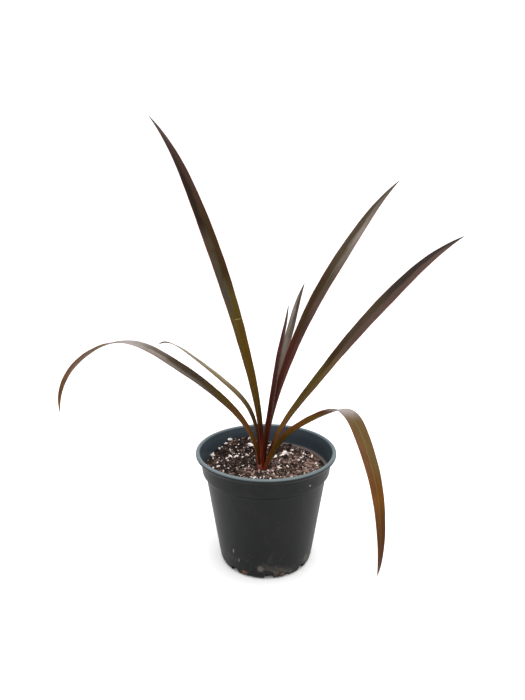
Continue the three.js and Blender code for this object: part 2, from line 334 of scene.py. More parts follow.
def makeSmearGroup():
    # one dried splash or streak with a broken edge, round its own centre
    group, given, made = newGroup(
        "driedSmear",
        [("Position", "Vector", None), ("Centre", "Vector", (0, 0, 0)),
         ("Reach", "Vector", (0.005, 0.005, 0.005)), ("Broken", "Float", 0.8)],
        ["Smear"])
    away = addNode(group, "VectorMath", operation="SUBTRACT")
    feed(group, away.inputs[0], given["Position"])
    feed(group, away.inputs[1], given["Centre"])
    shaped = addNode(group, "VectorMath", operation="DIVIDE")
    feed(group, shaped.inputs[0], away.outputs[0])
    feed(group, shaped.inputs[1], given["Reach"])
    length = addNode(group, "VectorMath", operation="LENGTH")
    feed(group, length.inputs[0], shaped.outputs[0])
    ragged = calc(group, "MULTIPLY", noiseOn(group, given["Position"], 480.0, 4, 0.75), given["Broken"])
    level = calc(group, "ADD", length.outputs["Value"], ragged)
    feed(group, made["Smear"], soften(group, level, 1.25, 0.75))
    return group


def makeGrainGroup():
    # crumbly grain with pits, for earth, bark and dry sheaths
    group, given, made = newGroup(
        "crumbGrain",
        [("Position", "Vector", None), ("Scale", "Float", 400.0)],
        ["Grain", "Pits"])
    grain = noiseOn(group, given["Position"], given["Scale"], 6, 0.7, 0.3)
    pits = addNode(group, "TexVoronoi", feature="F1")
    feed(group, pits.inputs["Vector"], given["Position"])
    feed(group, pits.inputs["Scale"], given["Scale"])
    feed(group, made["Grain"], grain)
    feed(group, made["Pits"], soften(group, pits.outputs["Distance"], 0.1, 0.55))
    return group


fibreGroup = makeFibreGroup()
mottleGroup = makeMottleGroup()
dustGroup = makeDustGroup()
smearGroup = makeSmearGroup()
grainGroup = makeGrainGroup()
print("shared effects ready")


# The nursery pot

potPlan = {
    "sides": 96,
    # radius and height of each moulded ring, from the underside up the outside and down the inside
    "outside": [
        (3, 0), (20, 0), (35.6, 0), (37.3, 0.05), (38.6, 0.5), (39.5, 1.8), (40.05, 3.6), (40.5, 6.2),
        (41.3, 11), (44, 28.7), (48, 54.9), (50.6, 71.9), (51.3, 76.5), (51.6, 78.2), (52.2, 79.3),
        (53.6, 80.1), (54.4, 80.9), (54.6, 82.2), (54.9, 84.8), (55.5, 90.2), (55.85, 92.7), (56.4, 93.9),
        (57.4, 94.6), (58.8, 94.9), (59.6, 95.6), (60, 96.9), (59.8, 98.1), (59.2, 98.8), (58.2, 99),
    ],
    "inside": [
        (57.2, 98.8), (56.5, 98.1), (56.1, 96.8), (55.5, 94.8), (54.6, 92.4), (54.1, 89), (53.6, 85.4),
        (53.2, 83.4), (52.6, 82.5), (51.6, 82.2), (50.8, 81.8), (50.35, 80.6), (50, 78.5), (49, 72),
        (45.4, 48), (40.5, 14), (39.4, 6.8), (38.9, 4.2), (37.6, 2.2), (36, 1.5), (20, 1.4), (3, 1.4),
    ],
    "drains": 16,
    "drainTurn": 3.5,  # degrees from the front
    "largeDrain": (7.5, 7, 5),  # width, reach, rise
    "smallDrain": (4.5, 5, 3.2),
    "drainCorner": 0.8,
    "footRadius": 40.3,
}


def turnShell(plan):
    # one ring pulled up the outside, over the rim and down the inside
    rings = plan["outside"] + plan["inside"]
    radius, height = rings[0]
    clearSelection()
    bpy.ops.mesh.primitive_circle_add(vertices=plan["sides"], radius=radius * mm, location=(0, 0, height * mm))
    shell = takeNew("potShell")
    openMesh(shell)
    bpy.ops.mesh.select_all(action="SELECT")
    bpy.ops.mesh.edge_face_add()
    for nextRadius, nextHeight in rings[1:]:
        closeMesh()
        openMesh(shell)
        pickVertices(shell, lambda place: abs(place.z - height * mm) < 1e-6
                     and abs(math.hypot(place.x, place.y) - radius * mm) < 1e-5)
        bpy.ops.mesh.extrude_edges_move(
            TRANSFORM_OT_translate={"value": (0, 0, (nextHeight - height) * mm)})
        stretch = nextRadius / radius
        bpy.ops.transform.resize(value=(stretch, stretch, 1), center_override=(0, 0, nextHeight * mm))
        radius, height = nextRadius, nextHeight
    bpy.ops.mesh.edge_face_add()
    bpy.ops.mesh.select_all(action="SELECT")
    bpy.ops.mesh.remove_doubles(threshold=1e-6)
    bpy.ops.mesh.normals_make_consistent(inside=False)
    closeMesh()
    addSubdivision(shell, 1)
    return shell


def drainCutter(plan, number):
    width, reach, rise = plan["largeDrain"] if number % 2 == 0 else plan["smallDrain"]
    angle = math.radians(plan["drainTurn"] - 90 + number * 360 / plan["drains"])
    radius = plan["footRadius"] - reach / 2 + 1.6
    clearSelection()
    bpy.ops.mesh.primitive_cube_add(size=1)
    cutter = takeNew("drainCutter")
    openMesh(cutter, "EDGE")
    bpy.ops.mesh.select_all(action="SELECT")
    bpy.ops.transform.resize(value=(reach * mm, width * mm, 2 * rise * mm))
    bpy.ops.mesh.bevel(offset=plan["drainCorner"] * mm, segments=3, affect="EDGES")
    closeMesh()
    turn = Matrix.Rotation(angle, 4, "Z")
    cutter.data.transform(turn @ Matrix.Translation((radius * mm, 0, 0)))
    return cutter


def cutDrains(shell, plan):
    cutters = joinAll([drainCutter(plan, number) for number in range(plan["drains"])], "drainCutters")
    cut = shell.modifiers.new("drains", "BOOLEAN")
    cut.operation = "DIFFERENCE"
    cut.solver = "EXACT"
    cut.object = cutters
    useModifiers(shell)
    bpy.data.objects.remove(cutters)


potLook = {
    "outside": tint(18, 19, 20),
    # groove is painted shade: a near black laid on the step under the collar
    "grooveShade": tint(8, 8, 8),
    # inside is painted lighter and bluer than the outside, though it is the same plastic: painted light on the
    # inner wall
    "inside": tint(50, 59, 66),
    # rim is a painted highlight: a pale bluish grey laid on the lip where the light from above catches it
    "rim": tint(100, 112, 116),
    "dust": tint(118, 110, 102),
    "ledgeDust": tint(104, 92, 86),
    # heights that the finishes begin and end at, in metres, among them the painted highlight on the lip and the
    # painted shade at the collar's step
    "insideFrom": 0.0818, "flareFrom": 0.0925,
    "lipHighlight": (0.0972, 0.0986),
    "grooveFoot": (0.0782, 0.079), "grooveTop": (0.0812, 0.0804),
    "ledge": (0.0838, 0.0829),
    "footDust": (0.03, 0.002),
    # middle of the wall at one height, and how fast it widens above and in the flare
    "wallMiddle": (0.083, 0.0539), "wallSpread": 0.13, "flareSpread": 0.42,
    "specular": 0.12,
    # centre, reach and colour of each dried splash, in metres
    "smears": [
        ((-0.0184, -0.0358, 0.0045), (0.0045, 0.004, 0.0022), tint(104, 70, 44)),
        ((0.0140, -0.0377, 0.0035), (0.004, 0.004, 0.0022), tint(96, 78, 52)),
        ((-0.0045, -0.0409, 0.0105), (0.0045, 0.004, 0.0055), tint(84, 80, 76)),
        ((-0.0270, -0.0333, 0.0225), (0.0008, 0.004, 0.0032), tint(120, 118, 112)),
        ((-0.0225, -0.0352, 0.0150), (0.0010, 0.004, 0.0030), tint(92, 90, 84)),
        ((0.0330, -0.0230, 0.0100), (0.0050, 0.006, 0.0070), tint(86, 84, 80)),
        ((0.0343, -0.0429, 0.0860), (0.0012, 0.003, 0.0012), tint(140, 138, 134)),
        ((-0.0300, 0.0290, 0.0080), (0.0060, 0.006, 0.0040), tint(92, 74, 54)),
    ],
}


def potPlastic():
    look = potLook
    material, tree, shader = newMaterial("potPlastic")
    place = addNode(tree, "TexCoord").outputs["Object"]
    parts = addNode(tree, "SeparateXYZ")
    feed(tree, parts.inputs[0], place)
    height = parts.outputs["Z"]
    flat = calc(tree, "ADD", calc(tree, "MULTIPLY", parts.outputs["X"], parts.outputs["X"]),
                calc(tree, "MULTIPLY", parts.outputs["Y"], parts.outputs["Y"]))
    radius = calc(tree, "SQRT", flat)
    above = calc(tree, "GREATER_THAN", height, look["insideFrom"])
    flare = calc(tree, "MAXIMUM", calc(tree, "SUBTRACT", height, look["flareFrom"]), 0.0)
    atHeight, middle = look["wallMiddle"]
    innerEdge = calc(tree, "MULTIPLY_ADD", height, look["wallSpread"], middle - atHeight * look["wallSpread"])
    innerEdge = calc(tree, "MULTIPLY_ADD", flare, look["flareSpread"], innerEdge)
    within = calc(tree, "MULTIPLY", above, calc(tree, "LESS_THAN", radius, innerEdge))
    # painted highlight along the lip of the rim
    lipHighlight = soften(tree, height, *look["lipHighlight"])
    dust = useGroup(tree, dustGroup, Position=place, Cover=0.42)
    cloud = noiseOn(tree, mapped(tree, place, scale=(1, 1, 0.4)), 22.0, 4, 0.6)
    # the inner wall gets its painted lighter, bluer tone here
    colour = blend(tree, within, look["outside"], look["inside"])
    colour = tinge(tree, colour, lipHighlight, 0.8, look["rim"])
    # painted shade on the step under the collar, which is made duller there too
    grooveShade = calc(tree, "MULTIPLY", soften(tree, height, *look["grooveFoot"]),
                  soften(tree, height, *look["grooveTop"]))
    colour = tinge(tree, colour, grooveShade, 0.9, look["grooveShade"])
    lighter = blend(tree, 1.0, colour, (1.35, 1.32, 1.28, 1), "MULTIPLY")
    colour = blend(tree, soften(tree, cloud, 0.35, 0.75), colour, lighter)
    low = soften(tree, height, *look["footDust"])
    rightward = calc(tree, "MULTIPLY_ADD", parts.outputs["Y"], 0.3, parts.outputs["X"])
    ledge = calc(tree, "MULTIPLY", soften(tree, height, *look["ledge"]), soften(tree, rightward, 0.0, 0.02))
    ledge = calc(tree, "MULTIPLY", ledge, within)
    settled = calc(tree, "MULTIPLY", dust["Dust"], calc(tree, "MULTIPLY_ADD", low, 0.8, 0.06))
    colour = blend(tree, settled, colour, look["dust"])
    colour = tinge(tree, colour, ledge, 0.8, look["ledgeDust"])
    colour = tinge(tree, colour, dust["Specks"], 0.55, look["dust"])
    marks = None
    for centre, reach, smearColour in look["smears"]:
        smear = useGroup(tree, smearGroup, Position=place, Centre=centre, Reach=reach, Broken=0.9)["Smear"]
        colour = blend(tree, smear, colour, smearColour)
        marks = smear if marks is None else calc(tree, "MAXIMUM", marks, smear)
    feed(tree, shader.inputs["Base Color"], colour)
    rough = calc(tree, "MULTIPLY_ADD", cloud, 0.16, 0.36)
    rough = calc(tree, "MULTIPLY_ADD", grooveShade, 0.4, rough)
    dulled = calc(tree, "MULTIPLY", calc(tree, "MAXIMUM", settled, marks), 0.45)
    rough = calc(tree, "ADD", rough, dulled, clamp=True)
    feed(tree, shader.inputs["Roughness"], rough)
    shader.inputs["Specular IOR Level"].default_value = look["specular"]
    moulded = noiseOn(tree, place, 1500.0, 2, 0.5)
    height = calc(tree, "ADD", calc(tree, "MULTIPLY", moulded, 0.25), calc(tree, "MULTIPLY", marks, 0.6))
    addBump(tree, shader, height, 0.35, 0.00025)
    return material


potShell = turnShell(potPlan)
cutDrains(potShell, potPlan)
roundShade(potShell, 38)
setMaterial(potShell, potPlastic())
standIn(potShell, "pot")
print("pot shell:", len(potShell.data.polygons), "faces")


# The potting soil

soilPlan = {
    "cells": 150,
    "level": 82.6,
    "slope": 0.018,
    "heap": {"x": -25, "y": 43, "rise": 6.2, "spread": 420},
    "lumps": (0.21, 0.8), "grit": (0.75, 0.75),  # how fine and how high the surface relief is
    "reach": 50.3,  # where the ledge lies bare
    "fullReach": 53.0,  # where soil covers the ledge
    "bareTowards": 15,  # degrees from the right
    "coverFrom": 0.45, "coverFade": 0.55,  # how near that side the cover starts, and how fast it is full
    "neckSpot": (-2.8, -2.5),
    "neckRadius": 4.4,
    "neckDepth": 8, "neckEdge": 1.2,
    "edgeFrom": 0.94, "edgeHeight": (81.7, 83.4),  # least height at the wall, bare and covered
    # the side and bottom below the surface, kept clear of the pot's inside
    "side": [(50.3, 80.9, 0.6), (50, 80.2, 0), (49.7, 78.4, 0), (39.1, 6.8, 0), (37.3, 2.5, 0), (35.8, 1.8, 0)],
    "crumbs": 1900,
    "crumbSize": (0.45, 1.8),
    "keepClear": {"crumb": 7.4, "chip": 10, "fleck": 8},  # from the neck's middle
    "bark": 130,
    "flecks": 430,
    "fleckSize": (0.25, 1.0),
    "seed": 11,
    # place of each large grain seen in the mix, with its half size
    "largeGrains": [
        (-14.6, 35.3, 2.3), (-31.7, 13.5, 1.7), (-26.4, 14.6, 1.6), (17.2, 25.6, 2.3), (14.6, 22.8, 1.7),
        (8.9, 19.9, 1.7), (10.5, -4.9, 1.8), (1.6, -10.4, 1.3), (-47.5, 20.0, 1.5), (-33.2, 42.0, 1.5),
        (-36.7, 36.3, 1.3), (-42.0, 29.3, 1.3), (24.7, 34.3, 1.3), (41.2, 18.1, 1.7), (43.5, 6.3, 1.3),
        (-9.8, -23.5, 1.3), (-17.7, -7.4, 1.5), (-20.6, 14.4, 1.2), (12.6, 2.0, 1.5), (-41.3, -4.0, 1.2),
        (34.6, 28.5, 1.2), (28.7, 9.9, 1.2), (-19.7, -2.3, 1.2), (-12.0, 47.0, 1.1), (7.0, 17.0, 1.1),
    ],
    # how pale the middle is, how far off the right and the front are palest, and paler patches; the soil's
    # darkening toward the back left is painted shade
    "paleMiddle": 0.42, "paleRight": 140, "paleFront": 120,
    "palePatches": [(23, -13, 9), (6, -21, 9), (40, -3, 8), (-11, -18, 6), (16, -30, 10), (32, 14, 9)],
}


def ledgeCover(angle):
    # 1 where the soil lies over the pot's ledge, 0 where the ledge shows
    facing = math.cos(angle - math.radians(soilPlan["bareTowards"]))
    coverFrom, coverFade = soilPlan["coverFrom"], soilPlan["coverFade"]
    share = max(0.0, min(1.0, (coverFrom - facing) / coverFade))
    return share * share * (3 - 2 * share)


def bedReach(angle):
    return mixed(soilPlan["reach"], soilPlan["fullReach"], ledgeCover(angle))


def soilHeight(x, y):
    heap = soilPlan["heap"]
    away = (x - heap["x"]) ** 2 + (y - heap["y"]) ** 2
    raised = heap["rise"] * math.exp(-away / heap["spread"])
    waves = 0.5 * math.sin(x * 0.31 + 1.3) * math.cos(y * 0.27) + 0.4 * math.sin(x * 0.12 - y * 0.17)
    return soilPlan["level"] - soilPlan["slope"] * x + raised + waves


def soilRelief(x, y):
    # lumps and crumbs of the surface itself
    (coarse, rise), (fine, roughness) = soilPlan["lumps"], soilPlan["grit"]
    lumps = noise.noise(Vector((x * coarse, y * coarse, 3.1)))
    crumbs = noise.noise(Vector((x * fine, y * fine, 8.4)))
    return rise * lumps + roughness * crumbs


def fromNeck(x, y):
    return math.hypot(x - soilPlan["neckSpot"][0], y - soilPlan["neckSpot"][1])


def makeSoilBed(plan):
    clearSelection()
    bpy.ops.mesh.primitive_grid_add(x_subdivisions=plan["cells"], y_subdivisions=plan["cells"], size=2)
    bed = takeNew("soilBed")
    for vertex in bed.data.vertices:
        discX = vertex.co.x * math.sqrt(1 - vertex.co.y ** 2 / 2)
        discY = vertex.co.y * math.sqrt(1 - vertex.co.x ** 2 / 2)
        angle = math.atan2(discY, discX)
        x, y = discX * bedReach(angle), discY * bedReach(angle)
        height = soilHeight(x, y) + soilRelief(x, y)
        edge = max(0.0, (math.hypot(discX, discY) - plan["edgeFrom"]) / (1 - plan["edgeFrom"]))
        height = mixed(height, max(height, mixed(*plan["edgeHeight"], ledgeCover(angle))), edge)
        inHole = (plan["neckRadius"] + plan["neckEdge"] - fromNeck(x, y)) / plan["neckEdge"]
        sink = plan["neckDepth"] * max(0.0, min(1.0, inHole))
        vertex.co = (x * mm, y * mm, (height - sink) * mm)
    openMesh(bed)
    shape = bmesh.from_edit_mesh(bed.data)
    for edge in shape.edges:
        edge.select = edge.is_boundary
    bmesh.update_edit_mesh(bed.data)
    radius = plan["fullReach"]
    for nextRadius, middle, squash in plan["side"]:
        bpy.ops.mesh.extrude_edges_move()
        stretch = nextRadius / radius
        bpy.ops.transform.resize(value=(stretch, stretch, squash), center_override=(0, 0, middle * mm))
        radius = nextRadius
    bpy.ops.mesh.edge_face_add()
    bpy.ops.mesh.select_all(action="SELECT")
    bpy.ops.mesh.normals_make_consistent(inside=False)
    closeMesh()
    return bed


def crumbPattern(name, seed, stretch, roughness, keep):
    # one lump: a ball knocked out of round, with its faces thinned to a few dozen
    clearSelection()
    bpy.ops.mesh.primitive_ico_sphere_add(subdivisions=2, radius=1)
    lump = takeNew(name)
    for vertex in lump.data.vertices:
        bump = noise.noise(vertex.co * 1.4 + Vector((seed, seed * 2.3, 0)))
        vertex.co = Vector(a * b for a, b in zip(vertex.co * (1 + roughness * bump), stretch))
    thin = lump.modifiers.new("thin", "DECIMATE")
    thin.ratio = keep
    useModifiers(lump)
    return lump


def barkPattern(name, seed):
    # one splinter of bark with its corners broken off
    clearSelection()
    bpy.ops.mesh.primitive_cube_add(size=1)
    chip = takeNew(name)
    openMesh(chip, "EDGE")
    bpy.ops.mesh.select_all(action="SELECT")
    bpy.ops.mesh.subdivide(number_cuts=1)
    bpy.ops.transform.resize(value=(3.6, 1.3, 0.7))
    closeMesh()
    for vertex in chip.data.vertices:
        bump = noise.noise_vector(vertex.co * 0.9 + Vector((seed, 0, seed)))
        vertex.co += bump * 0.45
    return chip


def markTone(piece, value):
    # a tone of its own for each copy, read by the material
    tone = piece.data.attributes.new("tone", "FLOAT", "POINT")
    tone.data.foreach_set("value", [value] * len(piece.data.vertices))


def scatterSpot(chooser, clear, margin):
    # a random place on the soil, clear of the neck and the wall
    while True:
        angle = chooser.uniform(0, 2 * math.pi)
        radius = (bedReach(angle) - margin) * math.sqrt(chooser.random())
        x, y = radius * math.cos(angle), radius * math.sin(angle)
        if fromNeck(x, y) > clear:
            return x, y


def layCopy(pattern, name, x, y, size, lift, chooser, tone, flat=1.0):
    height = soilHeight(x, y) + soilRelief(x, y) + lift
    turn = Matrix.Rotation(chooser.uniform(0, 6.28), 4, "Z")
    turn = turn @ Matrix.Rotation(chooser.uniform(-0.7, 0.7), 4, "X")
    shrink = Matrix.Diagonal((size * mm, size * mm * chooser.uniform(0.6, 1.0), size * mm * flat, 1))
    placing = Matrix.Translation((x * mm, y * mm, height * mm)) @ turn @ shrink
    copied = copyOf(pattern, name, placing)
    markTone(copied, tone)
    return copied


def paleness(x, y):
    # the soil is paler toward the front and the right and darker toward the back left, where the dark is
    # painted shade
    plan = soilPlan
    patches = sum(0.55 * math.exp(-((x - px) ** 2 + (y - py) ** 2) / reach ** 2)
                  for px, py, reach in plan["palePatches"])
    return max(0.0, min(1.0, plan["paleMiddle"] + x / plan["paleRight"] - y / plan["paleFront"] + patches))


def makeCrumbs(plan):
    chooser = random.Random(plan["seed"])
    patterns = [crumbPattern("crumbA", 1, (1.2, 0.9, 0.8), 0.9, 0.45),
                crumbPattern("crumbB", 4, (1.0, 1.0, 0.7), 1.1, 0.4),
                crumbPattern("crumbC", 9, (1.5, 0.8, 0.7), 0.8, 0.35)]
    crumbs = []
    for _ in range(plan["crumbs"]):
        x, y = scatterSpot(chooser, plan["keepClear"]["crumb"], 1.3)
        low, high = plan["crumbSize"]
        size = low + (high - low) * chooser.random() ** 1.7
        # the tone follows the soil's paler front and right and the painted shade at its back left
        tone = chooser.random() ** 1.5 * 0.75 + 0.5 * paleness(x, y) - 0.08
        crumbs.append(layCopy(chooser.choice(patterns), "crumb", x, y, size, 0.2, chooser, tone, 0.85))
    for pattern in patterns:
        bpy.data.objects.remove(pattern)
    return joinAll(crumbs, "soilCrumbs")


def makeBark(plan):
    chooser = random.Random(plan["seed"] + 1)
    patterns = [barkPattern("barkA", 2), barkPattern("barkB", 5)]
    chips = []
    for _ in range(plan["bark"]):
        x, y = scatterSpot(chooser, plan["keepClear"]["chip"], 3)
        # the tone follows the soil's paler front and right and the painted shade at its back left
        tone = 0.55 * chooser.random() + 0.5 * paleness(x, y)
        pattern = chooser.choice(patterns)
        chips.append(layCopy(pattern, "chip", x, y, chooser.uniform(0.35, 0.9), 0.5, chooser, tone))
    for pattern in patterns:
        bpy.data.objects.remove(pattern)
    return joinAll(chips, "barkChips")


def makePerlite(plan):
    chooser = random.Random(plan["seed"] + 2)
    patterns = [crumbPattern("grainA", 3, (1.0, 0.9, 0.8), 1.0, 0.5),
                crumbPattern("grainB", 7, (1.25, 0.85, 0.7), 1.2, 0.42),
                crumbPattern("grainC", 12, (1.1, 1.0, 0.75), 1.1, 0.36)]
    grains = []
    for x, y, size in plan["largeGrains"]:
        tone = 0.5 * chooser.random()
        grains.append(layCopy(chooser.choice(patterns), "grain", x, y, size, 0.4 * size, chooser, tone))
        # a broken crumb or two beside it
        for _ in range(2):
            besideX, besideY = x + chooser.uniform(-2.6, 2.6), y + chooser.uniform(-2.2, 2.2)
            if fromNeck(besideX, besideY) > plan["keepClear"]["fleck"]:
                grains.append(layCopy(chooser.choice(patterns), "grain", besideX, besideY,
                                      size * chooser.uniform(0.3, 0.6), 0.4, chooser, tone))
    for _ in range(plan["flecks"]):
        x, y = scatterSpot(chooser, plan["keepClear"]["fleck"], 1.5)
        low, high = plan["fleckSize"]
        size = low + (high - low) * chooser.random() ** 2.2
        grains.append(layCopy(chooser.choice(patterns), "grain", x, y, size, 0.35, chooser, chooser.random()))
    for pattern in patterns:
        bpy.data.objects.remove(pattern)
    return joinAll(grains, "perliteGrains")


soilLook = {
    "black": tint(18, 11, 8),
    "dark": tint(44, 30, 23),
    "brown": tint(88, 66, 56),
    "dry": tint(154, 128, 116),
    "perlite": tint(244, 234, 228),
    "perliteStain": tint(206, 176, 154),
}


def earthMaterial(name, toneFromPiece, lift=0.0):
    look = soilLook
    material, tree, shader = newMaterial(name)
    place = addNode(tree, "TexCoord").outputs["Object"]
    grain = useGroup(tree, grainGroup, Position=place, Scale=520.0)
    broad = noiseOn(tree, place, 150.0, 3, 0.6)
    if toneFromPiece:
        tone = addNode(tree, "Attribute", attribute_name="tone").outputs["Fac"]
        level = calc(tree, "MULTIPLY_ADD", tone, 0.72, calc(tree, "MULTIPLY", grain["Grain"], 0.3))
    else:
        level = calc(tree, "MULTIPLY_ADD", broad, 0.35, calc(tree, "MULTIPLY", grain["Grain"], 0.2))
    level = calc(tree, "ADD", level, lift)
    colour = colourRun(tree, level, [(0.2, look["black"]), (0.33, look["dark"]), (0.5, look["brown"]),
                                     (0.8, look["dry"])])
    pitted = calc(tree, "MULTIPLY_ADD", grain["Pits"], -0.45, 0.45)
    colour = blend(tree, pitted, colour, look["black"])
    feed(tree, shader.inputs["Base Color"], colour)
    feed(tree, shader.inputs["Roughness"], calc(tree, "MULTIPLY_ADD", grain["Grain"], 0.2, 0.8, clamp=True))
    shader.inputs["Specular IOR Level"].default_value = 0.25
    addBump(tree, shader, grain["Grain"], 0.6, 0.0006)
    return material


def perliteMaterial():
    look = soilLook
    material, tree, shader = newMaterial("perliteWhite")
    place = addNode(tree, "TexCoord").outputs["Object"]
    grain = useGroup(tree, grainGroup, Position=place, Scale=900.0)
    tone = addNode(tree, "Attribute", attribute_name="tone").outputs["Fac"]
    stained = calc(tree, "MULTIPLY", soften(tree, grain["Grain"], 0.5, 0.7), soften(tree, tone, 0.3, 1.0))
    colour = blend(tree, stained, look["perlite"], look["perliteStain"])
    feed(tree, shader.inputs["Base Color"], colour)
    feed(tree, shader.inputs["Roughness"], calc(tree, "MULTIPLY_ADD", grain["Pits"], 0.15, 0.75))
    shader.inputs["Specular IOR Level"].default_value = 0.3
    addBump(tree, shader, grain["Grain"], 0.5, 0.0004)
    return material


soilBed = makeSoilBed(soilPlan)
roundShade(soilBed)
setMaterial(soilBed, earthMaterial("soilEarth", False))
standIn(soilBed, "soil")
soilCrumbs = makeCrumbs(soilPlan)
setMaterial(soilCrumbs, earthMaterial("crumbEarth", True))
standIn(soilCrumbs, "soil")
barkChips = makeBark(soilPlan)
setMaterial(barkChips, earthMaterial("barkBrown", True, 0.06))
standIn(barkChips, "soil")
perliteGrains = makePerlite(soilPlan)
setMaterial(perliteGrains, perliteMaterial())
standIn(perliteGrains, "soil")
print("soil:", len(soilBed.data.polygons), "faces,", len(soilCrumbs.data.polygons), "in its crumbs")


# The leaves

leafTones = {
    # sheathRed and rust are set lighter than the leaf bases' own colour: painted light on the shaded neck
    "sheathRed": tint(150, 62, 42), "maroon": tint(44, 14, 5), "wine": tint(54, 21, 10),
    "redWine": tint(64, 26, 15), "rust": tint(110, 74, 16), "olive": tint(72, 53, 8),
    "moss": tint(68, 56, 17), "umber": tint(46, 32, 13), "bark": tint(24, 15, 6), "brown": tint(72, 44, 20),
    "plum": tint(51, 33, 25), "mauve": tint(69, 54, 48), "dusk": tint(56, 46, 33),
    # stone, pewter and silver are pale greys laid where a blade reflects the sky: painted sheen
    "slate": tint(37, 30, 26), "ash": tint(56, 50, 38), "stone": tint(86, 78, 70),
    "pewter": tint(106, 99, 92), "silver": tint(128, 121, 119), "amber": tint(88, 55, 17),
    "ember": tint(64, 36, 8), "copper": tint(86, 57, 32), "tan": tint(80, 63, 32),
    "straw": tint(98, 84, 52), "cream": tint(122, 114, 88), "peach": tint(138, 112, 86),
}
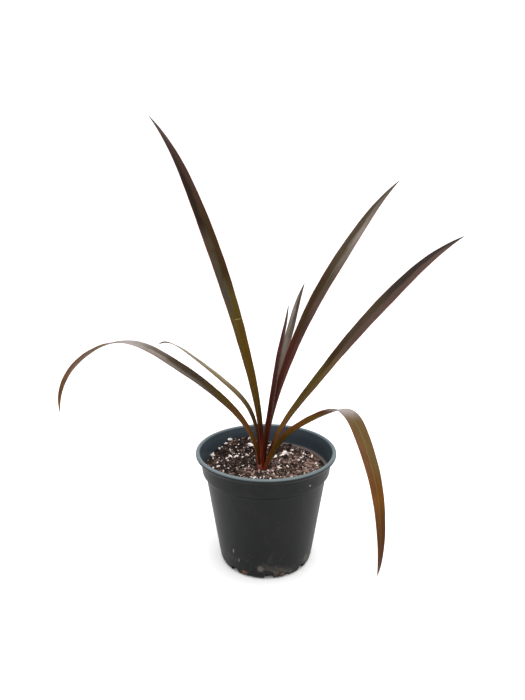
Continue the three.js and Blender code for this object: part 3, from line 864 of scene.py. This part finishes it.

# One entry for each leaf. place is the angle round the neck and ring the distance from its axis.
# aim, bend and roll are the heading, the climb and the twist in degrees, at even steps from the
# neck to the tip. left and right are the tones along the two halves, seen toward the tip: the leaf's
# own colours with painted light and shade, one half lighter where light falls on it and pale greys
# where the blade reflects the sky. rib is how plainly the midrib shows. A painted sheen stripe has
# its half (-1 is the left), start, end, tone and strength.
leafPlans = {
    "leaf_left_arching": {
        "place": 172, "ring": 4.2, "sleeve": 0, "growth": 1.16, "rootWidth": 6, "width": 14.3, "widest": 0.61,
        "length": 297, "aim": [168, 159, 173], "bend": [86, 46, 30, 20, -20, -50, -95],
        "roll": [0, -10, 6, 11],
        "slot": "leaf_dark", "seed": 1,
        "rib": 0.06, "sheenStripes": [(-1, 0.26, 0.6, "pewter", 0.55)],
        "left": [(0.0, "sheathRed"), (0.06, "sheathRed"), (0.1, "rust"), (0.22, "olive"), (0.3, "dusk"),
                 (0.4, "ash"), (0.5, "pewter"), (0.56, "silver"), (0.63, "silver"), (0.68, "tan"),
                 (0.8, "copper"), (0.92, "amber"), (0.97, "rust"), (1.0, "peach")],
        "right": [(0.0, "sheathRed"), (0.06, "rust"), (0.18, "amber"), (0.28, "moss"), (0.36, "dusk"),
                  (0.44, "dusk"), (0.52, "stone"), (0.58, "silver"), (0.64, "silver"), (0.69, "copper"),
                  (0.82, "amber"), (0.92, "ember"), (0.97, "rust"), (1.0, "peach")],
    },
    "leaf_left_slender": {
        "place": 154, "ring": 3.1, "sleeve": 0, "growth": 1.9, "rootWidth": 4.2, "width": 8.7, "widest": 0.59,
        "length": 177, "aim": [161, 160, 128], "bend": [89, 75, 41, 32, 17, -27],
        "roll": [0, -4, 15, 38],
        "slot": "leaf_pale", "seed": 2,
        "rib": 0.05,
        "left": [(0.0, "sheathRed"), (0.08, "rust"), (0.2, "olive"), (0.34, "tan"), (0.55, "straw"),
                 (0.8, "pewter"), (1.0, "ash")],
        "right": [(0.0, "sheathRed"), (0.08, "rust"), (0.2, "amber"), (0.34, "tan"), (0.55, "cream"),
                  (0.8, "cream"), (1.0, "pewter")],
    },
    "leaf_left_tall": {
        "place": 206, "ring": 1.85, "sleeve": 16, "growth": 0.8, "rootWidth": 3, "width": 14.7, "widest": 0.41,
        "length": 326, "aim": [160, 150, 145], "bend": [90, 78, 72, 67, 61, 43],
        "roll": [0, -6, -26, -26],
        "slot": "leaf_dark", "seed": 3,
        "rib": 0.03,
        "left": [(0.0, "sheathRed"), (0.07, "sheathRed"), (0.12, "redWine"), (0.2, "olive"), (0.34, "olive"),
                 (0.42, "moss"), (0.47, "ash"), (0.55, "ash"), (0.62, "dusk"), (0.69, "bark"), (0.8, "bark"),
                 (0.9, "slate"), (1.0, "ash")],
        "right": [(0.0, "sheathRed"), (0.07, "sheathRed"), (0.12, "redWine"), (0.2, "olive"), (0.36, "olive"),
                  (0.46, "moss"), (0.54, "umber"), (0.68, "umber"), (0.76, "plum"), (0.88, "plum"),
                  (0.94, "mauve"), (1.0, "ash")],
    },
    "leaf_centre_maroon": {
        "place": -76, "ring": 0.75, "sleeve": 30, "growth": 1.09, "rootWidth": 1.3, "width": 9, "widest": 0.65,
        "length": 159, "aim": [-75, -56, -57], "bend": [79, 70, 75, 79, 73, 79],
        "roll": [0, 24, 26],
        "slot": "leaf_maroon", "seed": 4,
        "rib": 0.03,
        "left": [(0.0, "sheathRed"), (0.2, "redWine"), (0.5, "wine"), (0.9, "wine"), (1.0, "plum")],
        "right": [(0.0, "sheathRed"), (0.2, "redWine"), (0.5, "maroon"), (0.85, "wine"), (1.0, "mauve")],
    },
    "leaf_centre_pale": {
        "place": 90, "ring": 2.95, "sleeve": 20, "growth": 1.9, "rootWidth": 1.6, "width": 8.6, "widest": 0.72,
        "length": 174, "aim": [85, 46, 50, 54], "bend": [82, 64, 71, 67, 66, 52],
        "roll": [0, -5, -11],
        "slot": "leaf_pale", "seed": 5,
        "rib": 0.1,
        "left": [(0.0, "wine"), (0.2, "brown"), (0.36, "ash"), (0.55, "stone"), (0.85, "pewter"),
                 (1.0, "mauve")],
        "right": [(0.0, "wine"), (0.2, "brown"), (0.36, "mauve"), (0.6, "stone"), (0.9, "ash"),
                  (1.0, "mauve")],
    },
    "leaf_right_tall": {
        "place": 10, "ring": 1.8, "sleeve": 16, "growth": 1.01, "rootWidth": 3, "width": 14.5, "widest": 0.49,
        "length": 301, "aim": [30, 32, 40], "bend": [86, 71, 62, 52, 46, 32],
        "roll": [0, -2, 18, 12],
        "slot": "leaf_dark", "seed": 6,
        "rib": 0.03,
        "left": [(0.0, "maroon"), (0.12, "wine"), (0.24, "maroon"), (0.38, "wine"), (0.46, "umber"),
                 (0.58, "umber"), (0.68, "dusk"), (0.8, "dusk"), (0.92, "ash"), (1.0, "ash")],
        "right": [(0.0, "maroon"), (0.12, "wine"), (0.22, "redWine"), (0.34, "redWine"), (0.44, "plum"),
                  (0.52, "mauve"), (0.6, "ash"), (0.68, "stone"), (0.76, "pewter"), (0.86, "stone"),
                  (1.0, "ash")],
    },
    "leaf_right_long": {
        "place": 21, "ring": 2.9, "sleeve": 6, "growth": 0.82, "rootWidth": 4.2, "width": 15.2, "widest": 0.6,
        "length": 264, "aim": [8, 1, 12], "bend": [74, 55, 53, 49, 43, 26],
        "roll": [0, 17, 28, 28],
        "slot": "leaf_dark", "seed": 7,
        "rib": 0.04,
        "left": [(0.0, "maroon"), (0.08, "wine"), (0.16, "rust"), (0.28, "moss"), (0.36, "moss"),
                 (0.46, "umber"), (0.54, "dusk"), (0.64, "dusk"), (0.76, "slate"), (1.0, "slate")],
        "right": [(0.0, "maroon"), (0.08, "rust"), (0.14, "amber"), (0.2, "brown"), (0.32, "olive"),
                  (0.42, "tan"), (0.52, "mauve"), (0.66, "mauve"), (0.8, "mauve"), (0.92, "mauve"),
                  (1.0, "slate")],
    },
    "leaf_right_hanging": {
        "place": -60, "ring": 4.15, "sleeve": 0, "growth": 0.92,
        "rootWidth": 5.6, "width": 14.2, "widest": 0.41,
        "length": 253, "aim": [-36, -66, -97], "bend": [66, 53, 38, 32, 21, -34, -44, -57, -85, -128],
        "roll": [0, -9, -9, -20, -40],
        "slot": "leaf_dark", "seed": 8,
        "rib": 0.25,
        "left": [(0.0, "sheathRed"), (0.08, "rust"), (0.16, "umber"), (0.28, "olive"), (0.37, "tan"),
                 (0.44, "ash"), (0.49, "silver"), (0.52, "silver"), (0.57, "tan"), (0.69, "tan"),
                 (0.76, "amber"), (0.86, "ember"), (0.97, "ember"), (1.0, "peach")],
        "right": [(0.0, "sheathRed"), (0.04, "sheathRed"), (0.09, "rust"), (0.18, "olive"),
                  (0.28, "amber"), (0.38, "olive"), (0.44, "ember"), (0.49, "silver"), (0.52, "silver"),
                  (0.57, "tan"), (0.68, "copper"), (0.78, "amber"), (0.9, "ember"), (0.97, "ember"),
                  (1.0, "peach")],
    },
}

bladePlan = {
    "neckSpot": soilPlan["neckSpot"],
    "base": 74,  # height that every leaf starts at
    "neck": 14,  # length over which it leaves the neck
    "openCurl": 24, "tipCurl": 10,  # half turn of the channel in degrees
    "unroll": 45,
    "crease": 1.4,  # 2 is a round channel, 1 a sharp fold
    "tipWidth": 0.35,
    "thickness": 1.15,
    "edgeShare": 0.36,  # thickness of the edge over that of the middle
    "wave": 0.1,
    "spacing": 2.2,
    "columns": 12,
    "veins": 17.0,
}


def along(values, share):
    # a smooth run through evenly spaced values
    last = len(values) - 1
    place = max(0.0, min(1.0, share)) * last
    cell = min(int(place), last - 1)
    t = place - cell
    a, b = values[cell], values[cell + 1]
    before = values[cell - 1] if cell > 0 else 2 * a - b
    after = values[cell + 2] if cell < last - 1 else 2 * b - a
    pull = 2 * before - 5 * a + 4 * b - after
    return 0.5 * (2 * a + (b - before) * t + pull * t * t + (3 * a - before - 3 * b + after) * t ** 3)


def leafDirections(leaf, distance):
    neck = bladePlan["neck"]
    share = max(0.0, (distance - neck) / (leaf["length"] - neck))
    climb, heading, twist = along(leaf["bend"], share), along(leaf["aim"], share), along(leaf["roll"], share)
    if distance < neck:
        k = distance / neck
        ease = k * k * (3 - 2 * k)
        climb = 90 + (climb - 90) * ease
        heading = leaf["place"] + (heading - leaf["place"]) * ease
        twist *= ease
    e, h, r = math.radians(climb), math.radians(heading), math.radians(twist)
    ahead = Vector((math.cos(e) * math.cos(h), math.cos(e) * math.sin(h), math.sin(e)))
    left = Vector((-math.sin(h), math.cos(h), 0))
    up = ahead.cross(left)
    turn = Matrix.Rotation(r, 3, ahead)
    return ahead, turn @ left, turn @ up


def halfWidth(leaf, distance):
    share = distance / leaf["length"]
    free = max(0.0, distance - leaf["sleeve"])
    grown = min(free / (leaf["widest"] * leaf["length"] - leaf["sleeve"]), 1)
    swell = math.sin(math.pi / 2 * grown) ** leaf["growth"]
    width = leaf["rootWidth"] + (leaf["width"] - leaf["rootWidth"]) * swell
    past = max(0.0, (share - leaf["widest"]) / (1 - leaf["widest"]))
    taper = (1 - past ** 2.2) ** 0.9
    return max(width * taper, leaf.get("blunt", bladePlan["tipWidth"])) / 2


def halfCurl(leaf, distance):
    # half the angle of the channel, and how far it has opened from the clasp at the neck
    plan = bladePlan
    clasp = math.asin(min(leaf["rootWidth"] / 2 / leaf["ring"], 0.96))
    opened = math.radians(mixed(plan["openCurl"], plan["tipCurl"], distance / leaf["length"]))
    free = max(0.0, distance - plan["neck"] - leaf["sleeve"])
    fade = math.exp(-((free / plan["unroll"]) ** 1.5))
    return opened + (clasp - opened) * fade, 1 - fade


def leafStations(leaf, spacing):
    # place and directions at even steps along the middle line
    count = round(leaf["length"] / spacing)
    fine = 6
    step = leaf["length"] / (count * fine)
    angle = math.radians(leaf["place"])
    foot = Vector((leaf["ring"] * math.cos(angle), leaf["ring"] * math.sin(angle), bladePlan["base"]))
    spot = foot + Vector((*bladePlan["neckSpot"], 0))
    stations = []
    for i in range(count * fine + 1):
        if i % fine == 0:
            stations.append((i * step, spot.copy(), leafDirections(leaf, i * step)))
        spot = spot + leafDirections(leaf, (i + 0.5) * step)[0] * step
    return stations


def layBlade(name, leaf, spacing, columns):
    # a flat strip with its UV map, laid along the middle line and bent into its channel
    stations = leafStations(leaf, spacing)
    clearSelection()
    bpy.ops.mesh.primitive_grid_add(x_subdivisions=columns, y_subdivisions=len(stations) - 1, size=1)
    blade = takeNew(name)
    ribShare = blade.vertex_groups.new(name="rib")
    chooser = random.Random(leaf["seed"])
    phases = [chooser.uniform(0, 6.28) for _ in range(4)]
    for vertex in blade.data.vertices:
        v = -2 * vertex.co.x
        distance, spot, (ahead, left, up) = stations[round((vertex.co.y + 0.5) * (len(stations) - 1))]
        half = halfWidth(leaf, distance)
        curl, opened = halfCurl(leaf, distance)
        radius = half / math.sin(curl)
        power = mixed(2.0, bladePlan["crease"], opened)
        rise = radius * (1 - math.cos(curl)) * abs(v) ** power
        side = 0 if v >= 0 else 2
        ripple = math.sin(distance / 7.3 + phases[side]) + 0.7 * math.sin(distance / 3.1 + phases[side + 1])
        rise += bladePlan["wave"] * ripple * abs(v) ** 3 * opened * min(1.0, half / 4)
        vertex.co = (spot + left * (radius * math.sin(v * curl)) + up * rise) * mm
        thick = (1 - v * v) * math.sin(math.pi * distance / leaf["length"])
        ribShare.add([vertex.index], thick, "REPLACE")
    return blade


def thickenBlade(blade):
    # both faces and the edge, thickest along the rib
    thicken = blade.modifiers.new("thicken", "SOLIDIFY")
    thicken.thickness = bladePlan["thickness"] * mm
    thicken.offset = 0
    thicken.vertex_group = "rib"
    thicken.thickness_vertex_group = bladePlan["edgeShare"]
    useModifiers(blade)
    addSubdivision(blade, 1)
    blade.vertex_groups.clear()
    roundShade(blade)


leafLook = {
    "marginTone": tint(108, 46, 42),
    "ribTone": tint(120, 98, 70),
    "fleckTone": tint(100, 40, 34),
    "glintTone": tint(120, 98, 90),
    "scratchTone": tint(160, 142, 84),
    # a dried scratch across the left tall leaf
    "scratch": ((-0.0236, 0.0075, 0.2095), (0.0034, 0.0060, 0.0004)),
    "patchShare": 0.4, "veinShare": 0.35, "marginShare": 0.55, "glintShare": 0.3, "fleckShare": 0.45,
    "scratchShare": 0.5, "sheenStripeFade": 0.12,
    "roughness": 0.4, "specular": 0.05,
}


def leafSkin(name, leaf):
    look = leafLook
    material, tree, shader = newMaterial(name + "_skin")
    uv = addNode(tree, "UVMap", uv_map="UVMap").outputs["UV"]
    place = addNode(tree, "TexCoord").outputs["Object"]
    fibres = useGroup(tree, fibreGroup, UV=uv, VeinCount=bladePlan["veins"], Shift=float(leaf["seed"] * 3))
    shifted = mapped(tree, place, move=(leaf["seed"] * 0.37, 0, 0))
    mottle = useGroup(tree, mottleGroup, Position=shifted, PatchScale=70.0)
    jitter = calc(tree, "MULTIPLY", calc(tree, "SUBTRACT", fibres["Streaks"], 0.5), 0.16)
    share = calc(tree, "ADD", fibres["Along"], jitter, clamp=True)
    # the tone runs hold the leaf's own colours with painted light and shade: one half lighter where light falls
    # on it, pale greys for the sky's sheen
    left = colourRun(tree, share, [(at, leafTones[tone]) for at, tone in leaf["left"]])
    right = colourRun(tree, share, [(at, leafTones[tone]) for at, tone in leaf["right"]])
    swayed = calc(tree, "MULTIPLY_ADD", calc(tree, "SUBTRACT", mottle["Patches"], 0.5), 0.3, fibres["Side"])
    colour = blend(tree, soften(tree, swayed, -0.3, 0.3), left, right)
    # painted sheen: a paler tone laid along part of one half of the blade
    for half, start, end, tone, strength in leaf.get("sheenStripes", []):
        onHalf = soften(tree, calc(tree, "MULTIPLY", fibres["Side"], half), 0.1, 0.4)
        run = calc(tree, "MULTIPLY", soften(tree, share, start, start + look["sheenStripeFade"]),
                   soften(tree, share, end, end - look["sheenStripeFade"]))
        cover = calc(tree, "MULTIPLY", calc(tree, "MULTIPLY", onHalf, run), strength)
        colour = blend(tree, cover, colour, leafTones[tone])
    darker = blend(tree, 1.0, colour, (0.6, 0.56, 0.5, 1), "MULTIPLY")
    colour = tinge(tree, colour, mottle["Patches"], look["patchShare"], darker)
    lighter = blend(tree, 1.0, colour, (1.55, 1.5, 1.45, 1), "MULTIPLY")
    colour = tinge(tree, colour, fibres["Veins"], look["veinShare"], lighter)
    colour = blend(tree, soften(tree, fibres["Streaks"], 0.5, 0.68), colour, lighter)
    colour = blend(tree, soften(tree, fibres["Streaks"], 0.46, 0.3), colour, darker)
    colour = tinge(tree, colour, fibres["Rib"], leaf["rib"], look["ribTone"])
    colour = tinge(tree, colour, fibres["Margin"], look["marginShare"], look["marginTone"])
    glint = calc(tree, "MULTIPLY", soften(tree, fibres["Streaks"], 0.56, 0.7), mottle["Bloom"])
    colour = tinge(tree, colour, glint, look["glintShare"], look["glintTone"])
    colour = tinge(tree, colour, mottle["Flecks"], look["fleckShare"], look["fleckTone"])
    centre, reach = look["scratch"]
    scratch = useGroup(tree, smearGroup, Position=place, Centre=centre, Reach=reach, Broken=0.35)["Smear"]
    colour = tinge(tree, colour, scratch, look["scratchShare"], look["scratchTone"])
    feed(tree, shader.inputs["Base Color"], colour)
    rough = calc(tree, "MULTIPLY_ADD", mottle["Bloom"], 0.14, look["roughness"])
    rough = calc(tree, "ADD", rough, calc(tree, "MULTIPLY", fibres["Streaks"], 0.08))
    feed(tree, shader.inputs["Roughness"], rough)
    shader.inputs["Specular IOR Level"].default_value = look["specular"]
    relief = calc(tree, "MULTIPLY_ADD", fibres["Veins"], 0.5, calc(tree, "MULTIPLY", fibres["Streaks"], 0.4))
    relief = calc(tree, "SUBTRACT", relief, calc(tree, "MULTIPLY", fibres["Rib"], 0.8))
    addBump(tree, shader, relief, 0.45, 0.00022)
    return material


for node, leaf in leafPlans.items():
    blade = layBlade(node + "_blade", leaf, bladePlan["spacing"], bladePlan["columns"])
    thickenBlade(blade)
    setMaterial(blade, leafSkin(node, leaf))
    standIn(blade, node)
print("leaves:", len(leafPlans))


# The torn sheath of an old leaf, in front of the neck

stubPlan = {
    "place": 247, "ring": 7.3, "sleeve": 0, "growth": 1.5, "rootWidth": 4.8, "width": 5.2, "widest": 0.7,
    "length": 14.4, "blunt": 4.2, "aim": [247, 247], "bend": [88, 78], "roll": [0, 6], "seed": 21,
    "tear": 1.6,
}


def makeStub(plan):
    stub = layBlade("oldLeafSheath", plan, 0.6, 14)
    for vertex in stub.data.vertices:
        high = vertex.co.z / mm - (bladePlan["base"] + plan["length"] - 5)
        if high > 0:
            torn = noise.noise(Vector((vertex.co.x * 900, vertex.co.y * 900, 2.0)))
            vertex.co.z += plan["tear"] * mm * torn * min(1.0, high / 3)
    thickenBlade(stub)
    return stub


def sheathMaterial():
    material, tree, shader = newMaterial("drySheath")
    place = addNode(tree, "TexCoord").outputs["Object"]
    uv = addNode(tree, "UVMap", uv_map="UVMap").outputs["UV"]
    fibres = useGroup(tree, fibreGroup, UV=uv, VeinCount=9.0, Shift=2.0)
    grain = useGroup(tree, grainGroup, Position=place, Scale=700.0)
    colour = colourRun(tree, fibres["Along"], [(0.0, tint(70, 34, 24)), (0.55, tint(84, 38, 28)),
                                               (0.85, tint(138, 70, 60)), (1.0, tint(146, 88, 74))])
    darker = blend(tree, 1.0, colour, (0.6, 0.5, 0.45, 1), "MULTIPLY")
    colour = tinge(tree, colour, fibres["Streaks"], 0.7, darker)
    feed(tree, shader.inputs["Base Color"], colour)
    feed(tree, shader.inputs["Roughness"], calc(tree, "MULTIPLY_ADD", grain["Grain"], 0.2, 0.6))
    height = calc(tree, "ADD", fibres["Veins"], grain["Grain"])
    addBump(tree, shader, height, 0.5, 0.0003)
    return material


oldLeafSheath = makeStub(stubPlan)
setMaterial(oldLeafSheath, sheathMaterial())
standIn(oldLeafSheath, "old_leaf_stub")


# The bulb stays as the frame has it, under the soil, with a papery finish

def bulbMaterial():
    material, tree, shader = newMaterial("bulbScales")
    place = addNode(tree, "TexCoord").outputs["Object"]
    stretched = mapped(tree, place, scale=(1, 1, 0.12))
    grain = useGroup(tree, grainGroup, Position=stretched, Scale=420.0)
    colour = colourRun(tree, grain["Grain"], [(0.3, tint(96, 58, 40)), (0.5, tint(150, 104, 76)),
                                              (0.72, tint(188, 150, 118))])
    feed(tree, shader.inputs["Base Color"], colour)
    feed(tree, shader.inputs["Roughness"], calc(tree, "MULTIPLY_ADD", grain["Grain"], 0.25, 0.5))
    addBump(tree, shader, grain["Grain"], 0.5, 0.0004)
    return material


setMaterial(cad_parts["bulb"], bulbMaterial())
print("sheath and bulb finished")


# Studio: pale floor that sweeps up behind, soft light, the photograph's camera

studio = {
    "floorSize": 4.0,
    "wallHeight": 2.2,
    "floorTone": (0.96, 0.96, 0.96, 1),
    "world": 1.12,
    "overhead": 21.0,
    "camera": (-0.003, -0.4345, 0.2864),
    "tilt": 76.9,
    "lens": 28,
}


def makeFloor():
    size = studio["floorSize"]
    clearSelection()
    bpy.ops.mesh.primitive_plane_add(size=size, location=(0, 0, -0.0002))
    floor = takeNew("studioFloor")
    openMesh(floor)
    pickVertices(floor, lambda place: place.y > size * 0.4)
    bpy.ops.mesh.extrude_edges_move(TRANSFORM_OT_translate={"value": (0, 0, studio["wallHeight"])})
    closeMesh()
    openMesh(floor)
    pickVertices(floor, lambda place: place.y > size * 0.4 and place.z < 0.01)
    bpy.ops.mesh.bevel(offset=0.9, segments=14, affect="EDGES")
    closeMesh()
    roundShade(floor)
    material, tree, shader = newMaterial("studioPaper")
    shader.inputs["Base Color"].default_value = studio["floorTone"]
    shader.inputs["Roughness"].default_value = 0.9
    shader.inputs["Specular IOR Level"].default_value = 0.1
    setMaterial(floor, material)


def addSoftbox(name, place, target, size, power):
    light = bpy.data.lights.new(name, "AREA")
    light.shape = "SQUARE"
    light.size = size
    light.energy = power
    lamp = bpy.data.objects.new(name, light)
    lamp.location = place
    lamp.rotation_euler = (Vector(target) - Vector(place)).to_track_quat("-Z", "Y").to_euler()
    bpy.context.scene.collection.objects.link(lamp)


def makeStudio():
    makeFloor()
    world = bpy.data.worlds.new("softWhite")
    world.use_nodes = True
    backdrop = world.node_tree.nodes["Background"]
    backdrop.inputs["Color"].default_value = (1, 1, 1, 1)
    backdrop.inputs["Strength"].default_value = studio["world"]
    bpy.context.scene.world = world
    addSoftbox("overhead", (0.12, -0.1, 1.4), (0, 0, 0.1), 1.7, studio["overhead"])
    bpy.context.scene.view_settings.view_transform = "Standard"
    lens = bpy.data.cameras.new("photoCamera")
    lens.lens = studio["lens"]
    lens.sensor_width = 36
    camera = bpy.data.objects.new("photoCamera", lens)
    camera.location = studio["camera"]
    camera.rotation_euler = (math.radians(studio["tilt"]), 0, 0)
    bpy.context.scene.collection.objects.link(camera)
    bpy.context.scene.camera = camera


makeStudio()
print("studio ready")
